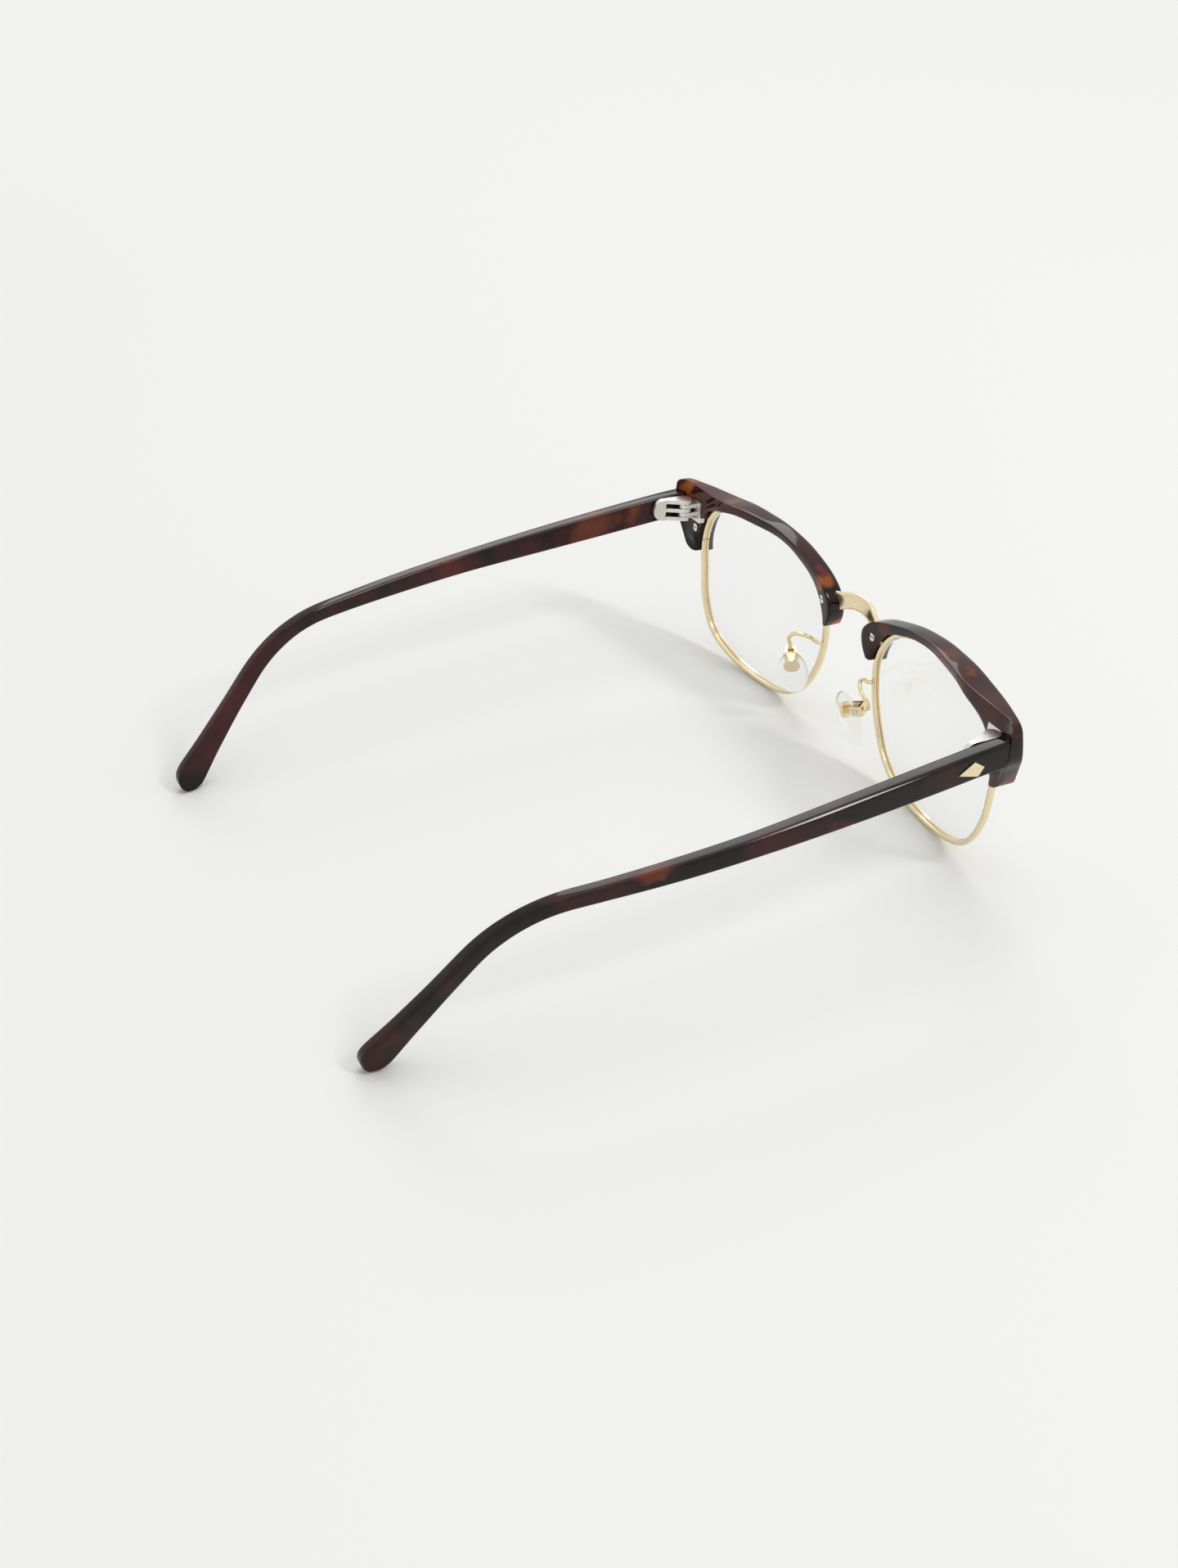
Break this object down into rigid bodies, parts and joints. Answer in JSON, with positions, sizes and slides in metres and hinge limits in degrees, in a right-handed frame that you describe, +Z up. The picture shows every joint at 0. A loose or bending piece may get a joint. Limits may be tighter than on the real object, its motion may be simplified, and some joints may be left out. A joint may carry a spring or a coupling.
{
  "type": "eyeglasses",
  "caption": "Browline glasses with acetate brows over thin metal rims, a metal bridge, adjustable nose pads and folding acetate temples.",
  "frame": {"origin": "centre of the bounding box at its bottom, where rims and temple tips rest on the table", "axes": "+X to the wearer's left, +Y back along the temples, +Z up"},
  "size_m": [0.1376, 0.1507, 0.0446],
  "materials": {
    "acetate": "polished dark tortoise",
    "gold": "polished pale gold",
    "steel": "satin",
    "lens": "clear",
    "pad": "clear soft plastic"
  },
  "bodies": {
    "front": {"brow_left": "acetate", "brow_right": "acetate", "rim_left": "gold", "rim_right": "gold", "rim_lock_left": "gold", "rim_lock_right": "gold", "lock_screws": "steel", "lens_left": "lens", "lens_right": "lens", "bridge": "gold", "brow_screws": "steel", "pad_arm_left": "gold", "pad_arm_right": "gold", "pad_box_left": "gold", "pad_box_right": "gold", "pad_screws": "steel", "hinge_front_left": "steel", "hinge_front_right": "steel"},
    "temple_left": {"temple_left": "acetate", "temple_core_left": "steel", "plaque_left": "gold", "hinge_temple_left": "steel", "hinge_screw_left": "steel"},
    "temple_right": {"temple_right": "acetate", "temple_core_right": "steel", "plaque_right": "gold", "hinge_temple_right": "steel", "hinge_screw_right": "steel"},
    "pad_left": {"nose_pad_left": "pad", "pad_core_left": "gold"},
    "pad_right": {"nose_pad_right": "pad", "pad_core_right": "gold"}
  },
  "joints": [
    {"name": "temple_left_fold", "type": "hinge", "parent": "front", "child": "temple_left", "pos_m": [0.0624, -0.06317, 0.03736], "axis": [0, -0.0645, 0.9979], "range_deg": [0, 88]},
    {"name": "temple_right_fold", "type": "hinge", "parent": "front", "child": "temple_right", "pos_m": [-0.0624, -0.06317, 0.03736], "axis": [0, -0.0645, 0.9979], "range_deg": [-82, 0]},
    {"name": "pad_left_rock", "type": "hinge", "parent": "front", "child": "pad_left", "pos_m": [0.0138, -0.06491, 0.0192], "axis": [0.5286, 0.8395, -0.1255], "range_deg": [-8, 8]},
    {"name": "pad_right_rock", "type": "hinge", "parent": "front", "child": "pad_right", "pos_m": [-0.0138, -0.06491, 0.0192], "axis": [-0.5286, 0.8395, -0.1255], "range_deg": [-8, 8]}
  ]
}
